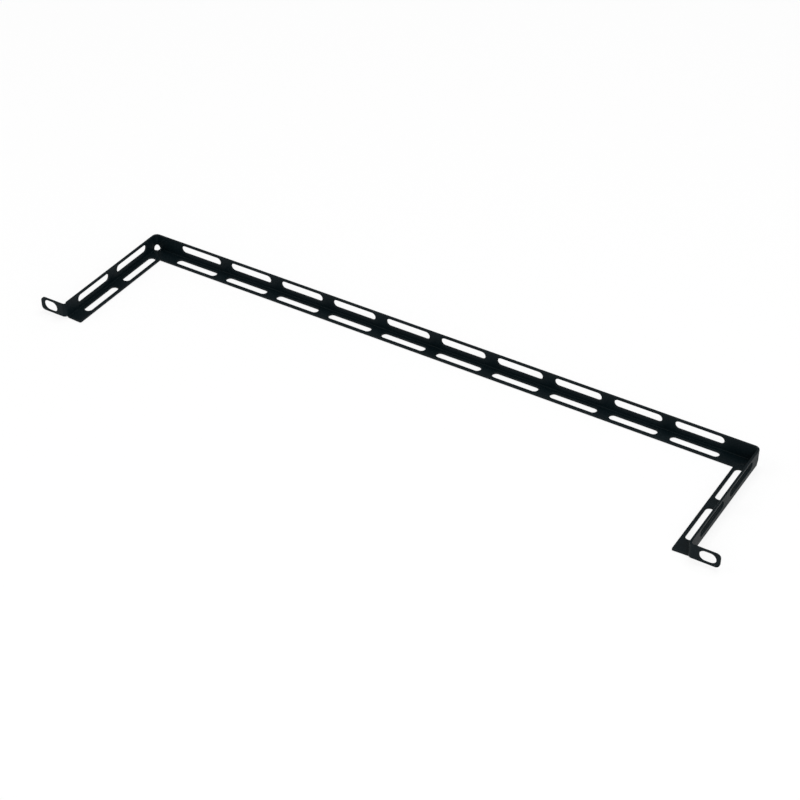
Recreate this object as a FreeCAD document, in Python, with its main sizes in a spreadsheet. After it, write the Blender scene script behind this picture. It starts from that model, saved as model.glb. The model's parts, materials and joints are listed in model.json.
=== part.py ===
"""Offset lacing bar for a 19-inch rack: one sheet of steel, punched, folded to an L section and bent to a U.

The long bar carries cable ties in two rows of slots. At each end the sheet turns a corner into an arm, which
holds the bar away from the rack rail, and the arm ends in a slotted ear that is screwed to the rail.
The right half is drawn with X along the bar from its middle, Y from the front of the ears to the back of the
bar and Z up from the underside. It is then mirrored.
"""
import FreeCAD, Part
import math
import os

import Sketcher

# Driving sizes in millimetres; a rim is the metal left between a slot and the edge beside it
SIZES = {
    "sheet_thickness": 1.2,
    "offset_depth": 98.8,
    "upright_height": 12.0,
    "shelf_width": 11.4,
    "fold_radius": 0.6,
    "corner_radius": 2.4,
    "slot_length": 32.3,
    "slot_width": 5.6,
    "slot_pitch": 40.64,
    "upright_slot_rim": 1.5,
    "shelf_slot_rim": 1.9,
    "mitre_to_slot": 0.7,
    "relief_width": 5.4,
    "relief_height": 4.4,
    "mitre_gap": 0.1,
    "ear_radius": 1.4,
    "ear_slot_spacing": 465.1,
    "ear_slot_length": 10.8,
    "ear_slot_width": 7.6,
    "ear_rim": 0.9,
    "ear_tip_rim": 2.15,
    "ear_corner_radius": 2.8,
    "bend_to_ear_slot": 4.1,
}

# Places that several features share, as expressions of the driving sizes
SHEET = "sizes.sheet_thickness"
EAR_SLOT = "sizes.ear_slot_spacing / 2"
EAR_ROOT = f"({EAR_SLOT} - sizes.ear_slot_length / 2 - sizes.bend_to_ear_slot)"
SIDE_FACE = f"({EAR_ROOT} - sizes.ear_radius)"
BACK_FACE = "sizes.offset_depth"
FOLD_OUT = "(sizes.fold_radius + sizes.sheet_thickness)"
BEND_OUT = "(sizes.corner_radius + sizes.sheet_thickness)"
EAR_OUT = "(sizes.ear_radius + sizes.sheet_thickness)"
EAR_TIP = f"({EAR_SLOT} + sizes.ear_slot_length / 2 + sizes.ear_tip_rim)"
EAR_MIDDLE = f"({FOLD_OUT} + sizes.ear_rim + sizes.ear_slot_width / 2)"
EAR_HIGH = f"({EAR_MIDDLE} + sizes.ear_slot_width / 2 + sizes.ear_rim)"
RELIEF_SHOULDER = "(sizes.relief_height - sizes.relief_width / 2)"
SLOT_START = "(sizes.shelf_width + sizes.mitre_to_slot)"


def make_sizes(doc):
    """Spreadsheet with one named cell for each driving size."""
    sheet = doc.addObject("Spreadsheet::Sheet", "sizes")
    for row, (name, size) in enumerate(SIZES.items(), 1):
        sheet.set(f"A{row}", name)
        sheet.set(f"B{row}", str(size))
        sheet.setAlias(f"B{row}", name)
    doc.recompute()


def origin_feature(body, role):
    """One of the body's own origin planes or axes."""
    return next(f for f in body.Origin.OriginFeatures if f.Role == role)


def make_sketch(body, name, plane, offset="0"):
    """Empty sketch on an origin plane, moved along the plane's normal by an expression."""
    sketch = body.newObject("Sketcher::SketchObject", f"{name}_sketch")
    sketch.AttachmentSupport = (origin_feature(body, plane), [""])
    sketch.MapMode = "FlatFace"
    sketch.setExpression("AttachmentOffset.Base.z", offset)
    return sketch


def spot(sketch, across, up):
    """Place in a sketch, worked out from two expressions."""
    return FreeCAD.Vector(sketch.evalExpression(across), sketch.evalExpression(up), 0)


def bind(sketch, kind, edge, end, expression):
    """Distance from the sketch's origin to an edge's end or centre, held by an expression."""
    size = sketch.evalExpression(expression)
    index = sketch.addConstraint(Sketcher.Constraint(kind, -1, 1, edge, end, size))
    sketch.setExpression(f"Constraints[{index}]", expression)


def add_line(sketch, start, finish):
    """Straight edge; gives its two ends in order."""
    edge = sketch.addGeometry(Part.LineSegment(start, finish), False)
    return (edge, 1), (edge, 2)


def add_arc(sketch, start, finish, corner):
    """Arc of up to half a turn, about the centre that a corner names; gives its two ends in order."""
    centre = spot(sketch, *corner[2:])
    from_start = start - centre
    from_finish = finish - centre
    leftward = from_start.cross(from_finish).z > -1e-9
    first, last = (from_start, from_finish) if leftward else (from_finish, from_start)
    circle = Part.Circle(centre, FreeCAD.Vector(0, 0, 1), from_start.Length)
    arc = Part.ArcOfCircle(circle, math.atan2(first.y, first.x), math.atan2(last.y, last.x))
    edge = sketch.addGeometry(arc, False)
    chord = finish - start
    if abs(chord.x) < abs(chord.y):
        bind(sketch, "DistanceX", edge, 3, corner[2])
    else:
        bind(sketch, "DistanceY", edge, 3, corner[3])
    return ((edge, 1), (edge, 2)) if leftward else ((edge, 2), (edge, 1))


def draw_outline(sketch, corners):
    """Closed outline, drawn anticlockwise through corners given as (across, up) expressions.

    Two more expressions in a corner are the centre of the arc that leads from it to the next corner.
    """
    spots = [spot(sketch, *corner[:2]) for corner in corners]
    ends = []
    for corner, start, finish in zip(corners, spots, spots[1:] + spots[:1]):
        if len(corner) == 2:
            ends.append(add_line(sketch, start, finish))
        else:
            ends.append(add_arc(sketch, start, finish, corner))
    for number, corner in enumerate(corners):
        edge, end = ends[number][0]
        sketch.addConstraint(Sketcher.Constraint("Coincident", *ends[number - 1][1], edge, end))
        bind(sketch, "DistanceX", edge, end, corner[0])
        bind(sketch, "DistanceY", edge, end, corner[1])


def draw_slot(sketch, across, up, length, width, upright=False):
    """Slot with round ends about a centre, lengthwise across the sketch or upright in it."""
    half_run = f"({length} - {width}) / 2"
    half_across, half_up = (f"{width} / 2", half_run) if upright else (half_run, f"{width} / 2")
    left = f"{across} - {half_across}"
    right = f"{across} + {half_across}"
    low = f"{up} - {half_up}"
    high = f"{up} + {half_up}"
    if upright:
        corners = [(left, low, across, low), (right, low), (right, high, across, high), (left, high)]
    else:
        corners = [(left, low), (right, low, right, up), (right, high), (left, high, left, up)]
    draw_outline(sketch, corners)


def pad(body, sketch, length, reverse=False):
    """Sheet metal raised from a sketch by a length."""
    feature = body.newObject("PartDesign::Pad", sketch.Name.replace("_sketch", ""))
    feature.Profile = (sketch, [""])
    feature.setExpression("Length", length)
    feature.Reversed = reverse
    body.Document.recompute()


def punch(body, sketch, reverse=False, depth=None):
    """Cut from a sketch, over a depth or through all that it meets."""
    before = body.Shape.Volume
    feature = body.newObject("PartDesign::Pocket", sketch.Name.replace("_sketch", ""))
    feature.Profile = (sketch, [""])
    feature.Reversed = reverse
    if depth is None:
        feature.Type = "ThroughAll"
    else:
        feature.setExpression("Length", depth)
    body.Document.recompute()
    require_cut(body, feature, before)
    return feature


def require_cut(body, feature, before):
    """Stop if a cut took nothing away."""
    if not body.Shape.Volume < before:
        raise RuntimeError(f"{feature.Name} cuts nothing")


def make_upright(body):
    """Vertical flange of bar, corner and arm, above the fold."""
    sketch = make_sketch(body, "upright", "XY_Plane", FOLD_OUT)
    bend_centre = (f"{SIDE_FACE} - {BEND_OUT}", f"{BACK_FACE} - {BEND_OUT}")
    draw_outline(sketch, [
        ("0", BACK_FACE),
        ("0", f"{BACK_FACE} - {SHEET}"),
        (f"{SIDE_FACE} - {BEND_OUT}", f"{BACK_FACE} - {SHEET}", *bend_centre),
        (f"{SIDE_FACE} - {SHEET}", f"{BACK_FACE} - {BEND_OUT}"),
        (f"{SIDE_FACE} - {SHEET}", EAR_OUT),
        (SIDE_FACE, EAR_OUT),
        (SIDE_FACE, f"{BACK_FACE} - {BEND_OUT}", *bend_centre),
        (f"{SIDE_FACE} - {BEND_OUT}", BACK_FACE),
    ])
    pad(body, sketch, f"sizes.upright_height - {FOLD_OUT}")


def make_shelf(body):
    """Horizontal flange inside the U, from the fold to its free edge."""
    sketch = make_sketch(body, "shelf", "XY_Plane")
    draw_outline(sketch, [
        ("0", f"{BACK_FACE} - {FOLD_OUT}"),
        ("0", f"{BACK_FACE} - sizes.shelf_width"),
        (f"{SIDE_FACE} - sizes.shelf_width", f"{BACK_FACE} - sizes.shelf_width"),
        (f"{SIDE_FACE} - sizes.shelf_width", EAR_OUT),
        (f"{SIDE_FACE} - {FOLD_OUT}", EAR_OUT),
        (f"{SIDE_FACE} - {FOLD_OUT}", f"{BACK_FACE} - {FOLD_OUT}"),
    ])
    pad(body, sketch, SHEET)


def draw_fold(sketch, outer_face):
    """Quarter ring between the shelf and the upright whose outer face is given."""
    centre = (f"{outer_face} - {FOLD_OUT}", FOLD_OUT)
    draw_outline(sketch, [
        (outer_face, FOLD_OUT),
        (f"{outer_face} - {SHEET}", FOLD_OUT, *centre),
        (f"{outer_face} - {FOLD_OUT}", SHEET),
        (f"{outer_face} - {FOLD_OUT}", "0", *centre),
    ])


def make_folds(body):
    """Rounded folds along the bar and along the arm, up to the corner bend."""
    along_bar = make_sketch(body, "bar_fold", "YZ_Plane")
    draw_fold(along_bar, BACK_FACE)
    pad(body, along_bar, f"{SIDE_FACE} - {BEND_OUT}")
    along_arm = make_sketch(body, "arm_fold", "XZ_Plane", f"-{EAR_OUT}")
    draw_fold(along_arm, SIDE_FACE)
    pad(body, along_arm, f"{BACK_FACE} - {BEND_OUT} - {EAR_OUT}", reverse=True)


def make_ear(body):
    """Outward bend at the front of the arm, above the fold, and the flat ear with its slot."""
    bend = make_sketch(body, "ear_bend", "XY_Plane", FOLD_OUT)
    bend_centre = (EAR_ROOT, EAR_OUT)
    draw_outline(bend, [
        (SIDE_FACE, EAR_OUT),
        (f"{SIDE_FACE} - {SHEET}", EAR_OUT, *bend_centre),
        (EAR_ROOT, "0"),
        (EAR_ROOT, SHEET, *bend_centre),
    ])
    pad(body, bend, f"{EAR_HIGH} - {FOLD_OUT}")
    flat = make_sketch(body, "ear_flat", "XZ_Plane")
    corner = "sizes.ear_corner_radius"
    inner_across = f"{EAR_TIP} - {corner}"
    inner_low = f"{FOLD_OUT} + {corner}"
    inner_high = f"{EAR_HIGH} - {corner}"
    draw_outline(flat, [
        (EAR_ROOT, FOLD_OUT),
        (inner_across, FOLD_OUT, inner_across, inner_low),
        (EAR_TIP, inner_low),
        (EAR_TIP, inner_high, inner_across, inner_high),
        (inner_across, EAR_HIGH),
        (EAR_ROOT, EAR_HIGH),
    ])
    pad(body, flat, SHEET, reverse=True)
    slot = make_sketch(body, "ear_slot", "XZ_Plane")
    draw_slot(slot, EAR_SLOT, EAR_MIDDLE, "sizes.ear_slot_length", "sizes.ear_slot_width")
    punch(body, slot)


def cut_away(body, kind, name, inset, height):
    """Ball or cylinder taken away over the middle of the corner bend, from a height above the underside."""
    before = body.Shape.Volume
    feature = body.newObject(f"PartDesign::Subtractive{kind}", name)
    feature.AttachmentSupport = (origin_feature(body, "XY_Plane"), [""])
    feature.MapMode = "FlatFace"
    feature.setExpression("Radius", "sizes.relief_width / 2")
    feature.setExpression("AttachmentOffset.Base.x", f"{SIDE_FACE} - {inset}")
    feature.setExpression("AttachmentOffset.Base.y", f"{BACK_FACE} - {inset}")
    feature.setExpression("AttachmentOffset.Base.z", height)
    if kind == "Cylinder":
        feature.setExpression("Height", RELIEF_SHOULDER)
    body.Document.recompute()
    require_cut(body, feature, before)


def make_corner_relief(body):
    """Relief slot across the fold at the corner bend, and the mitre from it to the shelf's inner corner.

    The slot is punched in the flat sheet. On the folded sheet it goes down through shelf and fold, about the
    middle of the corner bend, and ends round in the upright.
    """
    inset = f"({BEND_OUT} - (sizes.corner_radius + {SHEET} / 2) / sqrt(2))"
    cut_away(body, "Cylinder", "relief_shank", inset, "0")
    cut_away(body, "Sphere", "relief_end", inset, RELIEF_SHOULDER)
    mitre = make_sketch(body, "mitre", "XY_Plane")
    half_gap = "sizes.mitre_gap / 2 / sqrt(2)"
    end = "(sizes.shelf_width + sizes.mitre_gap)"
    draw_outline(mitre, [
        (f"{SIDE_FACE} - {inset} + {half_gap}", f"{BACK_FACE} - {inset} - {half_gap}"),
        (f"{SIDE_FACE} - {inset} - {half_gap}", f"{BACK_FACE} - {inset} + {half_gap}"),
        (f"{SIDE_FACE} - {end} - {half_gap}", f"{BACK_FACE} - {end} + {half_gap}"),
        (f"{SIDE_FACE} - {end} + {half_gap}", f"{BACK_FACE} - {end} - {half_gap}"),
    ])
    punch(body, mitre, reverse=True, depth=SHEET)


def punch_row(body, slot, axis, backwards, count):
    """A punched slot, repeated at the common pitch along an axis of the body or back along it."""
    row = body.newObject("PartDesign::LinearPattern", f"{slot.Name}_row")
    row.Originals = [slot]
    row.Direction = (origin_feature(body, axis), [""])
    row.Reversed = backwards
    row.Mode = "Spacing"
    row.setExpression("Offset", "sizes.slot_pitch")
    row.setExpression("Occurrences", count)
    body.Tip = row
    body.Document.recompute()


def make_lacing_slots(body):
    """Rows of slots in the upright and the shelf of bar and arm, as many as fit between corner and end."""
    size = ("sizes.slot_length", "sizes.slot_width")
    bridge = "(sizes.slot_pitch - sizes.slot_length)"
    on_bar = "sizes.slot_pitch / 2"
    on_arm = f"{BACK_FACE} - {SLOT_START} - sizes.slot_length / 2"
    in_upright = "sizes.upright_height - sizes.upright_slot_rim - sizes.slot_width / 2"
    in_shelf = "(sizes.shelf_width - sizes.shelf_slot_rim - sizes.slot_width / 2)"
    bar_room = f"({SIDE_FACE} - {SLOT_START} + {bridge} / 2)"
    arm_room = f"({BACK_FACE} - {SLOT_START} - {EAR_OUT} + {bridge})"
    bar_row = ("X_Axis", False, f"floor({bar_room} / sizes.slot_pitch)")
    arm_row = ("Y_Axis", True, f"floor({arm_room} / sizes.slot_pitch)")

    bar_upright = make_sketch(body, "bar_upright_slot", "XZ_Plane")
    draw_slot(bar_upright, on_bar, in_upright, *size)
    punch_row(body, punch(body, bar_upright), *bar_row)

    bar_shelf = make_sketch(body, "bar_shelf_slot", "XY_Plane")
    draw_slot(bar_shelf, on_bar, f"{BACK_FACE} - {in_shelf}", *size)
    punch_row(body, punch(body, bar_shelf, reverse=True), *bar_row)

    arm_upright = make_sketch(body, "arm_upright_slot", "YZ_Plane")
    draw_slot(arm_upright, on_arm, in_upright, *size)
    punch_row(body, punch(body, arm_upright, reverse=True), *arm_row)

    arm_shelf = make_sketch(body, "arm_shelf_slot", "XY_Plane")
    draw_slot(arm_shelf, f"{SIDE_FACE} - {in_shelf}", on_arm, *size, upright=True)
    punch_row(body, punch(body, arm_shelf, reverse=True), *arm_row)


def make_lacing_bar(doc):
    """The whole folded sheet, with its origin midway between the ear slots on the front of the ears."""
    body = doc.addObject("PartDesign::Body", "lacing_bar")
    body.Label = "lacing_bar"
    make_upright(body)
    make_shelf(body)
    make_folds(body)
    make_ear(body)
    make_corner_relief(body)
    make_lacing_slots(body)
    whole = body.newObject("PartDesign::Mirrored", "both_halves")
    whole.TransformMode = "Whole shape"
    whole.MirrorPlane = (origin_feature(body, "YZ_Plane"), [""])
    body.Tip = whole
    body.setExpression("Placement.Base.z", f"-{EAR_MIDDLE}")
    doc.recompute()
    return body


def check(doc, part):
    """Stop unless every feature was built and the part is one valid solid."""
    for item in doc.Objects:
        if {"Invalid", "Error"} & set(item.State):
            raise RuntimeError(f"{item.Name} is not built: {item.State}")
    if part.Shape.isNull() or not part.Shape.isValid():
        raise RuntimeError(f"{part.Label} has no valid shape")
    if len(part.Shape.Solids) != 1:
        raise RuntimeError(f"{part.Label} is {len(part.Shape.Solids)} solids")


def main():
    doc = FreeCAD.newDocument("offset_lacing_bar")
    make_sizes(doc)
    part = make_lacing_bar(doc)
    check(doc, part)
    os.makedirs("parts", exist_ok=True)
    part.Shape.exportStep(f"parts/{part.Label}.step")
    print(f"{part.Label}: {part.Shape.Volume:.1f} mm3 in {len(part.Shape.Faces)} faces")


main()
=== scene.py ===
# %% [markdown]
# # A lacing bar from one folded sheet
#
# A lacing bar is a light strip of steel that holds cable ties behind the equipment in a rack. The real one
# starts as a flat blank. Its slots are punched, it is folded lengthwise to an L, bent at two corners to a
# shallow U, and its ends are bent out to ears for the rack screws. Last comes a coat of black powder.
#
# This lesson makes the bar in the same order: a flat blank with rounded edges, a fold, a coat, and then the
# floor, the light and the camera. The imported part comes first, because it says where everything has to be.

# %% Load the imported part
import json
import math

import bmesh
import bpy
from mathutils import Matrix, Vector
from mathutils.bvhtree import BVHTree


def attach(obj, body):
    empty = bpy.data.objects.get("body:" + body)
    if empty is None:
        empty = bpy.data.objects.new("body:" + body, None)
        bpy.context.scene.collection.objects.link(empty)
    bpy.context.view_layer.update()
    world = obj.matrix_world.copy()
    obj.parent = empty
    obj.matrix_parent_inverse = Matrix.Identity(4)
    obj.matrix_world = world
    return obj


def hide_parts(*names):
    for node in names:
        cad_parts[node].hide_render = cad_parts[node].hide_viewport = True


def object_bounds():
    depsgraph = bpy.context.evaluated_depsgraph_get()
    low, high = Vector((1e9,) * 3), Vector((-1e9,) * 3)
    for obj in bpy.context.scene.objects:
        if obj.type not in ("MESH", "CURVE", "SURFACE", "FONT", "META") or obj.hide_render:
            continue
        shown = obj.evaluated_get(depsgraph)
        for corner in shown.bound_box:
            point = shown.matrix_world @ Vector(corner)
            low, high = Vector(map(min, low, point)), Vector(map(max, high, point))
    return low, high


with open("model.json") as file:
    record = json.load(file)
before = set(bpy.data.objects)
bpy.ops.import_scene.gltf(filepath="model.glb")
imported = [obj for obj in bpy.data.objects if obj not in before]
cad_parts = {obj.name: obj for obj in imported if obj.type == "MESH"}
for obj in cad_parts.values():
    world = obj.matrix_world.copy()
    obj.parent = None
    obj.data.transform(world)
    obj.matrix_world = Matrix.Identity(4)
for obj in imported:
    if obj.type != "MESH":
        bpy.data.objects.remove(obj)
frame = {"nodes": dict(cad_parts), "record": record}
cad_low, cad_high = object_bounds()
packed_sheet = frame["nodes"]["lacing_bar"]
print("packed part", [round(side, 4) for side in cad_high - cad_low], "metres")

# %% [markdown]
# ## The sizes of the sheet
#
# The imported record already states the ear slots, as a mount, and the middle of every lacing slot, as an
# opening. They are read from it, so that the blank follows the part. The sheet's thickness and the radii of
# its bends aren't in the record. They are the maker's own sizes and are named here, in millimetres. Other
# sizes of that kind are named further down, where each is first needed.

# %% Read the mounts and openings, and name the bends
MM = 0.001
mounts = {mount["name"]: mount for mount in frame["record"]["mounts"]}
openings = {gap["name"]: gap["box_m"] for gap in frame["record"]["physics"]["openings"]}
ear_dims = mounts["rack_ears"]["dims"]
EAR_SLOT = (ear_dims["slot_length_mm"] * MM, 2 * ear_dims["hole_r_mm"] * MM)
EAR_SLOT_FROM_MIDDLE = ear_dims["spacing_x_mm"] / 2 * MM

SHEET = 1.2 * MM
FOLD_RADIUS = 0.6 * MM
CORNER_RADIUS = 2.4 * MM
EAR_RADIUS = 1.4 * MM
BEND_TO_EAR_SLOT = 4.1 * MM

underside, top, back, tip = cad_low.z, cad_high.z, cad_high.y, cad_high.x
fold_out = FOLD_RADIUS + SHEET
corner_out = CORNER_RADIUS + SHEET
ear_out = EAR_RADIUS + SHEET
ear_root = EAR_SLOT_FROM_MIDDLE - EAR_SLOT[0] / 2 - BEND_TO_EAR_SLOT
side_face = ear_root - EAR_RADIUS
print("arms stand", round(2 * side_face / MM, 2), "mm apart over their outer faces")

# %% [markdown]
# ## The blank's length and width
#
# A bend keeps the length of the line in the middle of the sheet: the inside is squeezed and the outside
# stretched. So each quarter turn takes a quarter of a circle's circumference, at the radius of that middle
# line. Along the blank, distances are counted from the middle of the bar. Across it, they are counted from
# the line where the fold begins, with the shelf below zero and the upright above.

# %% Work out the stations of the blank
SHELF_WIDTH = 11.4 * MM
EAR_RIM = 0.9 * MM
QUARTER = math.pi / 2
fold_middle, corner_middle, ear_middle = (r + SHEET / 2 for r in (FOLD_RADIUS, CORNER_RADIUS, EAR_RADIUS))
fold_run, corner_run, ear_run = (r * QUARTER for r in (fold_middle, corner_middle, ear_middle))

corner_start = side_face - corner_out
corner_end = corner_start + corner_run
ear_start = corner_end + back - corner_out - ear_out
ear_end = ear_start + ear_run
blank_end = ear_end + tip - ear_root
shelf_edge = fold_out - SHELF_WIDTH
upright_edge = fold_run + top - underside - fold_out
ear_top = fold_run + EAR_SLOT[1] + 2 * EAR_RIM
print("flat blank", round(2 * blank_end / MM, 1), "by", round((upright_edge - shelf_edge) / MM, 1), "mm")

# %% [markdown]
# ## Drawing the outlines
#
# An outline is a ring of points. The blank's corners can be sharp or have a radius, and a slot is two half
# circles with straight lines between them, so one helper for arcs serves both. Every ring runs with the
# metal on its left: the blank's edge runs anticlockwise and each hole clockwise. Later that tells which way
# is outwards.

# %% Helpers that draw arcs, rounded corners and slots
ARC_STEP = math.radians(9)


def arc(centre, radius, begin, sweep):
    """Points on an arc, both ends included."""
    steps = max(1, round(abs(sweep) / ARC_STEP))
    angles = [begin + sweep * k / steps for k in range(steps + 1)]
    return [Vector((centre[0] + radius * math.cos(a), centre[1] + radius * math.sin(a))) for a in angles]


def rounded_outline(corners):
    """Ring of points through corners given as (along, across, radius)."""
    ring = []
    for number, (along, across, radius) in enumerate(corners):
        corner = Vector((along, across))
        if radius == 0:
            ring.append(corner)
            continue
        before = (Vector(corners[number - 1][:2]) - corner).normalized()
        after = (Vector(corners[(number + 1) % len(corners)][:2]) - corner).normalized()
        half = before.angle(after) / 2
        centre = corner + (before + after).normalized() * radius / math.sin(half)
        begin = corner + before * radius / math.tan(half) - centre
        turn = math.copysign(math.pi - 2 * half, before.cross(after))
        ring += arc(centre, radius, math.atan2(begin.y, begin.x), -turn)
    return ring


def slot_outline(along, across, length, width):
    """Ring of a slot with round ends, clockwise."""
    radius = width / 2
    reach = length / 2 - radius
    left_end = arc((along - reach, across), radius, -QUARTER, -math.pi)
    right_end = arc((along + reach, across), radius, QUARTER, -math.pi)
    return left_end + right_end


print("an ear slot has", len(slot_outline(0, 0, *EAR_SLOT)), "points")

# %% [markdown]
# ## The notch at each corner
#
# Where the sheet turns a corner, the shelf would be in its own way. So the blank has a notch there, whose
# two sides come together as a mitre once the bar is bent. At the point of the notch the real blank has a
# short relief slot, because the fold and the bend cross there and the steel would tear. The slot's width is
# given straight across the bent corner, and along the sheet it is a little more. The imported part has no
# layer of powder. Here the powder lies a tenth of a millimetre thick on every face and edge, on both sides
# of the mitre too, so the notch is wider by twice that and a hairline stays open.

# %% Draw the notch
RELIEF_WIDTH, RELIEF_HEIGHT = 5.4 * MM, 4.4 * MM
MITRE_GAP = 0.1 * MM
COAT_THICKNESS = 0.1 * MM
corner_station = (corner_start + corner_end) / 2
# Half the notch's width at the line where the fold begins
notch_half = corner_station - (side_face - fold_out - (MITRE_GAP + 2 * COAT_THICKNESS) / math.sqrt(2))
# The relief slot stands round the middle of the bent corner, which lies this far in from the outer faces
relief_inset = corner_out - corner_middle / math.sqrt(2)
# Half the relief slot's width, straight along the bar and then along the blank
relief_straight = math.sqrt((RELIEF_WIDTH / 2) ** 2 - (relief_inset - SHEET / 2) ** 2)
relief_half = corner_station - (side_face - relief_inset - relief_straight)
# The middles of its round ends, one as far above the fold's middle as the other is below it
relief_high = fold_run + RELIEF_HEIGHT - fold_out - relief_half
relief_low = fold_run - relief_high


def notch_outline():
    """Points from the bar's shelf up to the relief slot, round it and down to the arm's shelf."""
    # The notch's sides, at 45 degrees, meet the slot's lower end this far below where the fold begins
    drop = (math.sqrt(2 * relief_half ** 2 - (notch_half - relief_low) ** 2) - notch_half - relief_low) / 2
    turn = math.atan2(drop + relief_low, notch_half + drop)
    up = arc((corner_station, relief_low), relief_half, math.pi + turn, -turn)
    over = arc((corner_station, relief_high), relief_half, math.pi, -math.pi)
    down = arc((corner_station, relief_low), relief_half, 0, -turn)
    foot = notch_half - shelf_edge
    left = Vector((corner_station - foot, shelf_edge))
    right = Vector((corner_station + foot, shelf_edge))
    return [left, *up, *over, *down, right]


notch = notch_outline()
print("the notch is", round((notch[-1] - notch[0]).length / MM, 1), "mm wide at the shelf's edge")

# %% [markdown]
# ## The edge of the blank
#
# From the notch the edge runs along the arm's shelf to the ear, round the ear and back along the upright.
# The ends of shelf and upright are nearly square, and the ear has round corners, as in the photograph. The
# first and the last corner in the list only say where the edge comes from and goes to, and are dropped
# again. Only the right half is drawn, and the left half is its mirror image.

# %% Draw the edge of the blank
SOFT_CORNER = 0.4 * MM
EAR_CORNER = 2.8 * MM
end_outline = rounded_outline([
    (corner_station, shelf_edge, 0),
    (ear_start, shelf_edge, SOFT_CORNER),
    (ear_start, fold_run, 0),
    (blank_end, fold_run, EAR_CORNER),
    (blank_end, ear_top, EAR_CORNER),
    (ear_start, ear_top, 0),
    (ear_start, upright_edge, SOFT_CORNER),
    (corner_station, upright_edge, 0),
])[1:-1]
right_half = notch + end_outline
blank_outline = right_half + [Vector((-p.x, p.y)) for p in reversed(right_half)]
print("the blank's edge has", len(blank_outline), "points")

# %% [markdown]
# ## The punched slots
#
# The middle of each opening in the record is a place on the finished bar. To punch the slot in the blank,
# that place is unrolled: a point of the upright keeps its height above the fold, a point of the shelf keeps
# its distance from it, and a point of an arm lies further along by as much as the arm is long up to there.

# %% Unroll the middle of each opening and draw its slot
LACING_SLOT = (32.3 * MM, 5.6 * MM)


def station(x, y, on_arm):
    """Distance along the blank of a place on the bar or on an arm."""
    return math.copysign(corner_end + back - corner_out - y, x) if on_arm else x


def unrolled_slot(name, box):
    """Ring of the lacing slot that an opening stands for."""
    x, y, z = ((low + high) / 2 for low, high in zip(*box))
    on_arm = "arm" in name
    inset = side_face - abs(x) if on_arm else back - y
    across = fold_run + z - underside - fold_out if "upright" in name else fold_out - inset
    return slot_outline(station(x, y, on_arm), across, *LACING_SLOT)


lacing = {name: box for name, box in openings.items() if "upright_slot" in name or "shelf_slot" in name}
holes = [unrolled_slot(name, box) for name, box in lacing.items()]
ear_slot_station = ear_end + EAR_SLOT_FROM_MIDDLE - ear_root
ear_slot_across = (fold_run + ear_top) / 2
holes += [slot_outline(side * ear_slot_station, ear_slot_across, *EAR_SLOT) for side in (-1, 1)]
print(len(holes), "slots are punched")

# %% [markdown]
# ## Rounded edges
#
# Powder melts and flows before it sets, so a coated part has no sharp edge anywhere. A Bevel modifier could
# round the edges afterwards, but it gets into trouble where many short edges meet. Here the rounding is
# drawn at once: each outline is repeated as a stack of rings from the inner face to the outer face, set
# back near both faces along a quarter circle. The same stack adds the powder, because every ring stands out
# from the sheet by the thickness of the coat. A number is kept with each ring: one on the crown of an edge,
# where the coat is thinnest, and zero on the flats. The coat's colour also uses it for a painted highlight
# along every edge.

# %% Helpers for the rounded edges
EDGE_RADIUS = 0.25 * MM
EDGE_STEPS = 4
CROWN = EDGE_STEPS // 2


def edge_profile():
    """Way in from the sheet's edge, way in from its outer face and thinness of the coat, inner face first."""
    rows = []
    for step in range(EDGE_STEPS + 1):
        turn = QUARTER * step / EDGE_STEPS
        inward = EDGE_RADIUS * (1 - math.sin(turn)) - COAT_THICKNESS
        depth = EDGE_RADIUS * (1 - math.cos(turn)) - COAT_THICKNESS
        thin = max(0, 1 - abs(step - CROWN) / CROWN)
        rows.append((inward, depth, thin))
    return [(inward, SHEET - depth, thin) for inward, depth, thin in rows] + rows[::-1]


def outward(ring, number):
    """Direction that leads away from the metal at a point, long enough to keep corners at full width."""
    here = ring[number]
    before = (here - ring[number - 1]).normalized()
    after = (ring[(number + 1) % len(ring)] - here).normalized()
    right_before, right_after = Vector((before.y, -before.x)), Vector((after.y, -after.x))
    return (right_before + right_after) / (1 + right_before.dot(right_after))


print("each edge is a stack of", len(edge_profile()), "rings")

# %% [markdown]
# ## From outline to sheet
#
# Quads join the rings of each stack, and a fill with holes closes the two faces of the sheet. Cutting the
# slots with a Boolean modifier would give the same faces, but no rounded edges.

# %% Build the flat blank
blank = bmesh.new()
# This layer marks the edge crowns, where the coat is thin and where the colour also puts a painted highlight.
thinness = blank.verts.layers.float.new("thin_coat_and_highlight")


def add_edge(ring):
    """Rounded edge along a ring of points; gives its border on the inner face and on the outer face."""
    ways = [outward(ring, number) for number in range(len(ring))]
    stack = []
    for inward, depth, thin in edge_profile():
        row = []
        for point, way in zip(ring, ways):
            place = point - way * inward
            corner = blank.verts.new((place.x, place.y, depth))
            corner[thinness] = thin
            row.append(corner)
        stack.append(row)
    for upper, lower in zip(stack, stack[1:]):
        for n in range(len(ring)):
            blank.faces.new((upper[n - 1], upper[n], lower[n], lower[n - 1]))
    inner_and_outer = (stack[0], stack[-1])
    return [[blank.edges.get((row[n - 1], row[n])) for n in range(len(row))] for row in inner_and_outer]


borders = [add_edge(ring) for ring in [blank_outline, *holes]]
inner_borders, outer_borders = zip(*borders)
for face_borders, up in ((inner_borders, 1), (outer_borders, -1)):
    border = [edge for ring in face_borders for edge in ring]
    bmesh.ops.triangle_fill(blank, edges=border, use_beauty=True, normal=(0, 0, up))
print("flat blank:", len(blank.verts), "points", len(blank.faces), "faces")

# %% [markdown]
# ## Points for the bends
#
# The fill leaves long triangles, and a bend needs points to follow. So the blank is cut across every bend
# zone by a row of planes: the fold first, and then the corner and the ear bend of each side. Subdividing
# the whole blank would do as well, but with many points where nothing bends.

# %% Cut the bend zones
FOLD_CUTS, CORNER_CUTS, EAR_CUTS = 10, 14, 10
SAME_PLACE = 1e-7


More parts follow.
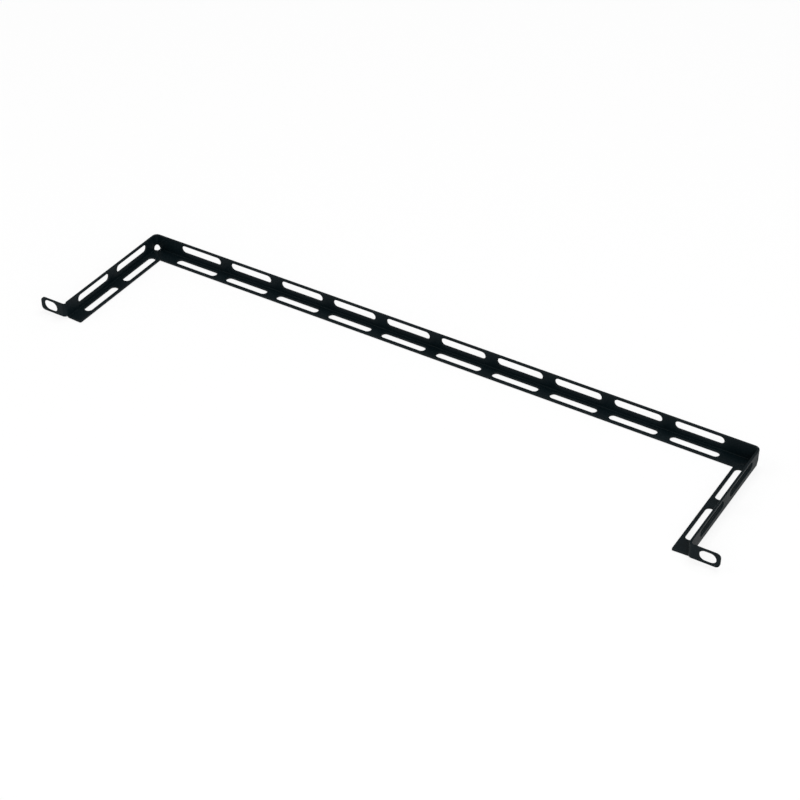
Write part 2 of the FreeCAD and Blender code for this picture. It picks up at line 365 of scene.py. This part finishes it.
def cut(direction, begin, run, cuts):
    """Rows of points at even steps over a bend zone."""
    for k in range(cuts + 1):
        everything = [*blank.verts, *blank.edges, *blank.faces]
        place = direction * (begin + run * k / cuts)
        bmesh.ops.bisect_plane(blank, geom=everything, dist=SAME_PLACE, plane_co=place, plane_no=direction)


cut(Vector((0, 1, 0)), 0, fold_run, FOLD_CUTS)
for side in (-1, 1):
    cut(Vector((side, 0, 0)), corner_start, corner_run, CORNER_CUTS)
    cut(Vector((side, 0, 0)), ear_start, ear_run, EAR_CUTS)
print("cut blank:", len(blank.verts), "points", len(blank.faces), "faces")

# %% [markdown]
# ## Folding
#
# Each point gets its place on the folded bar from a formula. The section comes first: shelf, quarter turn,
# upright. Then comes the plan: bar, quarter turn, arm, quarter turn outwards, ear. Bending with modifiers
# could do this too, but five bends in a row are easier to check as one formula.

# %% Fold the blank


def section(across, depth):
    """Distance in from the outer face, and height above the underside."""
    if across <= 0:
        return fold_out - across, depth
    if across >= fold_run:
        return depth, fold_out + across - fold_run
    turn, radius = across / fold_middle, fold_out - depth
    return fold_out - radius * math.sin(turn), fold_out - radius * math.cos(turn)


def plan(along, inset, in_shelf):
    """Place seen from above, on the right half of the bar."""
    if along <= corner_start or (in_shelf and along < corner_station):
        return along, back - inset
    if along < corner_end and not in_shelf:
        turn, radius = (along - corner_start) / corner_middle, corner_out - inset
        return corner_start + radius * math.sin(turn), back - corner_out + radius * math.cos(turn)
    if along <= ear_start:
        return side_face - inset, back - corner_out - (along - corner_end)
    if along < ear_end:
        turn, radius = (along - ear_start) / ear_middle, EAR_RADIUS + inset
        return ear_root - radius * math.cos(turn), ear_out - radius * math.sin(turn)
    return ear_root + along - ear_end, SHEET - inset


for corner in blank.verts:
    along, across, depth = corner.co
    inset, height = section(across, depth)
    x, y = plan(abs(along), inset, across <= 0)
    corner.co = (math.copysign(x, along), y, underside + height)
bmesh.ops.recalc_face_normals(blank, faces=blank.faces)
print("folded sheet:", len(blank.faces), "faces,", round(blank.calc_volume() / MM ** 3), "cubic millimetres")

# %% [markdown]
# ## The coated sheet as an object
#
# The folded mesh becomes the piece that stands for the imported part. Smooth shading would smear light over
# the flats, because their corner points are shared with the rounded edges. The Weighted Normal modifier
# lets the large flat faces decide, so flats look flat and only the edges look round.

# %% Make the coated sheet
FLATS_WEIGHT = 100
mesh = bpy.data.meshes.new("coated_sheet")
blank.to_mesh(mesh)
blank.free()
mesh.polygons.foreach_set("use_smooth", [True] * len(mesh.polygons))
coated_sheet = bpy.data.objects.new("coated_sheet", mesh)
bpy.context.scene.collection.objects.link(coated_sheet)
flats_decide = coated_sheet.modifiers.new("flats decide", "WEIGHTED_NORMAL")
flats_decide.mode = "FACE_AREA"
flats_decide.weight = FLATS_WEIGHT
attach(coated_sheet, "root")
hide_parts("lacing_bar")
print("coated sheet:", len(mesh.vertices), "points in one piece")

# %% [markdown]
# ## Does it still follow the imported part?
#
# A blank that is folded by a formula could end up a little off. So the distance from each of the packed
# part's own points to the new sheet is measured. On the flats it is the thickness of the coat. It is more
# only at the relief slot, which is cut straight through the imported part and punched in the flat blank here.

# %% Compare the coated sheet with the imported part
bpy.context.view_layer.update()
skin = BVHTree.FromObject(coated_sheet, bpy.context.evaluated_depsgraph_get())
gaps = []
for point in packed_sheet.data.vertices:
    *_, distance = skin.find_nearest(point.co)
    gaps.append(distance)
print("furthest packed point is", round(max(gaps) / MM, 3), "mm from the coated sheet")

# %% [markdown]
# ## Nodes for the powder coat
#
# The coat's clouds, dimples and grain could come from a picture that is wrapped round the sheet, but then
# the bar needs unwrapping, and a close look shows the picture's own points. Noise in the object's
# coordinates needs neither, and its scale can be given in dimples to the metre. A few helpers keep the node
# code short.

# %% Start the coat's material, and helpers that add its nodes
NOISE_LOW, NOISE_HIGH = 0.3, 0.7


def feed(tree, socket, value):
    """Give a socket a plain value, or link another node's output to it."""
    if isinstance(value, bpy.types.NodeSocket):
        tree.links.new(value, socket)
    else:
        socket.default_value = value


def add_node(tree, kind, inputs):
    """New shader node whose inputs are fed by name or by number."""
    node = tree.nodes.new(f"ShaderNode{kind}")
    for name, value in inputs.items():
        feed(tree, node.inputs[name], value)
    return node


def calculated(tree, operation, first, second):
    """Result of a calculation with two values."""
    node = add_node(tree, "Math", {0: first, 1: second})
    node.operation = operation
    return node.outputs["Value"]


def noise(tree, place, per_metre, detail):
    """Soft noise with so many clouds or dimples to the metre."""
    inputs = {"Vector": place, "Scale": per_metre, "Detail": detail}
    return add_node(tree, "TexNoise", inputs).outputs["Fac"]


def ranged(tree, value, low, high):
    """Noise spread over a range; the few values outside its usual band are cut off."""
    inputs = {"Value": value, "From Min": NOISE_LOW, "From Max": NOISE_HIGH, "To Min": low, "To Max": high}
    return add_node(tree, "MapRange", inputs).outputs["Result"]


def mixed(tree, share, first, second):
    """Colour between two colours."""
    node = add_node(tree, "Mix", {"Factor": share})
    node.data_type = "RGBA"
    for socket, colour in zip((s for s in node.inputs if s.type == "RGBA"), (first, second)):
        feed(tree, socket, colour)
    return next(s for s in node.outputs if s.type == "RGBA")


coat = bpy.data.materials.new("satin_black_powder")
coat.use_nodes = True
coated_sheet.data.materials.append(coat)
print("the sheet's material is", coat.name)

# %% [markdown]
# ## The coat's colour
#
# A black powder coat isn't one flat black. It has a faint blue-green cast, and clouds about as wide as a
# finger where it is a touch lighter. On the crown of an edge the powder draws back as it melts, and the
# colour is lighter there: partly for the thin coat, and partly as a painted highlight along every edge. The
# number that was kept with each ring says where that is.

# %% Mix the coat's colour
CLOUD_PER_METRE = 60
COAT_COLOUR = (0.0009, 0.0042, 0.0058, 1)
COAT_MOTTLE = (0.0018, 0.0060, 0.0080, 1)
# Colour of the edge crowns: partly the thin coat, partly a painted highlight.
THIN_EDGE_HIGHLIGHT_COLOUR = (0.012, 0.013, 0.014, 1)
THIN_EDGE_HIGHLIGHT_SHARE = 0.5
paint = coat.node_tree
shader = paint.nodes["Principled BSDF"]
place = add_node(paint, "TexCoord", {}).outputs["Object"]
cloud = noise(paint, place, CLOUD_PER_METRE, detail=3)
thin_and_highlight_mask = add_node(paint, "Attribute", {})
thin_and_highlight_mask.attribute_name = "thin_coat_and_highlight"

flats = mixed(paint, ranged(paint, cloud, 0, 1), COAT_COLOUR, COAT_MOTTLE)
# Painted highlight: every edge crown is mixed towards a lighter colour, partly for the thin coat.
thin_edge_highlight = calculated(paint, "MULTIPLY", thin_and_highlight_mask.outputs["Fac"], THIN_EDGE_HIGHLIGHT_SHARE)
feed(paint, shader.inputs["Base Color"], mixed(paint, thin_edge_highlight, flats, THIN_EDGE_HIGHLIGHT_COLOUR))
print("the colour takes", len(paint.nodes), "nodes so far")

# %% [markdown]
# ## Its gloss and its dimples
#
# As the powder flows it leaves a soft skin of dimples about a millimetre wide, like the peel of an orange,
# with a finer grain on top. They are too small to be worth modelling, so a Bump node tilts the light as
# they would. The gloss is a satin one. It changes a little with the clouds and the grain, and the thin
# edges are smoother.

# %% Set the gloss and the dimples
PEEL_PER_METRE, GRAIN_PER_METRE = 750, 4200
PEEL_DEPTH = 0.08 * MM
GRAIN_SHARE = 0.25
COAT_SPECULAR = 0.1
ROUGH_LOW, ROUGH_HIGH, ROUGH_GRAIN = 0.50, 0.58, 0.05
EDGE_SMOOTHER = 0.08
peel = noise(paint, place, PEEL_PER_METRE, detail=2)
grain = noise(paint, place, GRAIN_PER_METRE, detail=1)

cloudy = ranged(paint, cloud, ROUGH_LOW, ROUGH_HIGH)
rough = calculated(paint, "ADD", cloudy, ranged(paint, grain, -ROUGH_GRAIN, ROUGH_GRAIN))
smoother = calculated(paint, "MULTIPLY", thin_and_highlight_mask.outputs["Fac"], EDGE_SMOOTHER)
feed(paint, shader.inputs["Roughness"], calculated(paint, "SUBTRACT", rough, smoother))
shader.inputs["Specular IOR Level"].default_value = COAT_SPECULAR

skin_height = calculated(paint, "ADD", peel, calculated(paint, "MULTIPLY", grain, GRAIN_SHARE))
bump = add_node(paint, "Bump", {"Height": skin_height, "Distance": PEEL_DEPTH})
feed(paint, shader.inputs["Normal"], bump.outputs["Normal"])
print("the coat has", len(paint.nodes), "nodes")

# %% [markdown]
# ## The floor
#
# The bar lies on a plain floor that runs past the picture on every side. A slab could be modelled, but its
# rim and its underside are never seen, so one plane is enough. It lies a hair below the coat, because two
# faces at the same height would flicker.

# %% Lay the floor
FLOOR_SIZE = 60
FLOOR_GAP = 0.02 * MM
floor_height = underside - COAT_THICKNESS - FLOOR_GAP
bpy.ops.mesh.primitive_plane_add(size=FLOOR_SIZE, location=(0, 0, floor_height))
floor = bpy.context.object
floor.name = "floor"
print("floor lies", round((underside - floor_height) / MM, 3), "mm below the packed underside")

# %% [markdown]
# ## A white floor that keeps the shadow
#
# More light would make a pale floor white, but would grey the black coat as well. A floor that only shines
# by itself would be white too, but would show no shadow. So the two are mixed. For the camera and for
# reflections, which Light Path picks out, most of the floor's light is plain white, and the rest is a pale
# matt surface that takes the bar's soft shadow.

# %% Make the floor white
PLAIN_WHITE_SHARE = 0.8
FLOOR_COLOUR = (0.92, 0.92, 0.92, 1)
pale_floor = bpy.data.materials.new("pale_floor")
pale_floor.use_nodes = True
ground = pale_floor.node_tree
ground.nodes.clear()
path = add_node(ground, "LightPath", {}).outputs
seen = path["Is Camera Ray"]
for ray in ("Is Glossy Ray", "Is Transmission Ray"):
    seen = calculated(ground, "MAXIMUM", seen, path[ray])
share = calculated(ground, "MULTIPLY", seen, PLAIN_WHITE_SHARE)
matt = add_node(ground, "BsdfDiffuse", {"Color": FLOOR_COLOUR}).outputs["BSDF"]
white = add_node(ground, "Emission", {}).outputs["Emission"]
both = add_node(ground, "MixShader", {"Fac": share, 1: matt, 2: white}).outputs["Shader"]
add_node(ground, "OutputMaterial", {"Surface": both})
floor.data.materials.append(pale_floor)
print("plain white is", PLAIN_WHITE_SHARE, "of the floor")

# %% [markdown]
# ## The light
#
# A black part shows what it reflects more than its own colour. One small lamp would give it a hard spark
# and leave the rest without form. So large soft lamps stand to the right, in front and overhead, as round a
# small product on a table.

# %% Set up the lamps
LAMPS = {
    "key": {"place": (1.3, -1.1, 1.3), "size": 1.2, "watts": 22},
    "fill": {"place": (-1.4, -0.7, 1.2), "size": 1.2, "watts": 9},
    "top": {"place": (0.1, 0.5, 1.9), "size": 1.6, "watts": 20},
}


def make_lamp(name, place, size, watts):
    """Square soft lamp that faces the bar."""
    light = bpy.data.lights.new(name, "AREA")
    light.shape = "SQUARE"
    light.size = size
    light.energy = watts
    lamp = bpy.data.objects.new(name, light)
    lamp.location = place
    lamp.rotation_euler = Vector(place).to_track_quat("Z", "Y").to_euler()
    bpy.context.scene.collection.objects.link(lamp)


for name, lamp in LAMPS.items():
    make_lamp(name, **lamp)
print(len(LAMPS), "lamps of", sum(lamp["watts"] for lamp in LAMPS.values()), "watts in all")

# %% [markdown]
# ## The room
#
# What no lamp reaches is lit by the room. It is a dim grey overhead, so that the shelf stays black, and
# pale at the horizon, as the walls of a bright room are.

# %% Light the room
HORIZON_TOP, GREY_FROM = 0.1, 0.4
HORIZON_COLOUR = (1, 1, 1, 1)
OVERHEAD_COLOUR = (0.25, 0.25, 0.25, 1)
room = bpy.data.worlds.new("room")
room.use_nodes = True
bpy.context.scene.world = room
sky = room.node_tree
way = add_node(sky, "TexCoord", {}).outputs["Generated"]
rise = add_node(sky, "SeparateXYZ", {"Vector": way}).outputs["Z"]
ramp = add_node(sky, "ValToRGB", {"Fac": rise})
ends = ((HORIZON_TOP, HORIZON_COLOUR), (GREY_FROM, OVERHEAD_COLOUR))
for element, (position, colour) in zip(ramp.color_ramp.elements, ends):
    element.position = position
    element.color = colour
feed(sky, sky.nodes["Background"].inputs["Color"], ramp.outputs["Color"])
print("the room goes from", HORIZON_COLOUR[0], "at the horizon to", OVERHEAD_COLOUR[0], "overhead")

# %% [markdown]
# ## The camera
#
# The photograph was taken from the right and from above, with a long lens. The angles, the distance and the
# lens were found by fitting the bar's outline to it, and the camera stands upright, with no tilt to either
# side. Blender takes the sensor and the lens in millimetres, and all other lengths in metres.

# %% Place the camera
AZIMUTH, ELEVATION = math.radians(31.45), math.radians(37.63)
AIM = Vector((5.1, 46.3, -11.9)) * MM
DISTANCE = 1229.8 * MM
FRAME_PIXELS, FOCAL_PIXELS = 800, 1985.5
SENSOR_WIDTH = 36

towards_camera = Vector((
    math.sin(AZIMUTH) * math.cos(ELEVATION),
    -math.cos(AZIMUTH) * math.cos(ELEVATION),
    math.sin(ELEVATION),
))
lens = bpy.data.cameras.new("camera")
lens.sensor_width = SENSOR_WIDTH
lens.lens = SENSOR_WIDTH * FOCAL_PIXELS / FRAME_PIXELS
camera = bpy.data.objects.new("camera", lens)
camera.location = AIM + towards_camera * DISTANCE
camera.rotation_euler = towards_camera.to_track_quat("Z", "Y").to_euler()
bpy.context.scene.collection.objects.link(camera)
bpy.context.scene.camera = camera
bpy.context.scene.view_settings.view_transform = "Standard"
print("lens", round(lens.lens, 1), "mm at", round(DISTANCE, 3), "m")
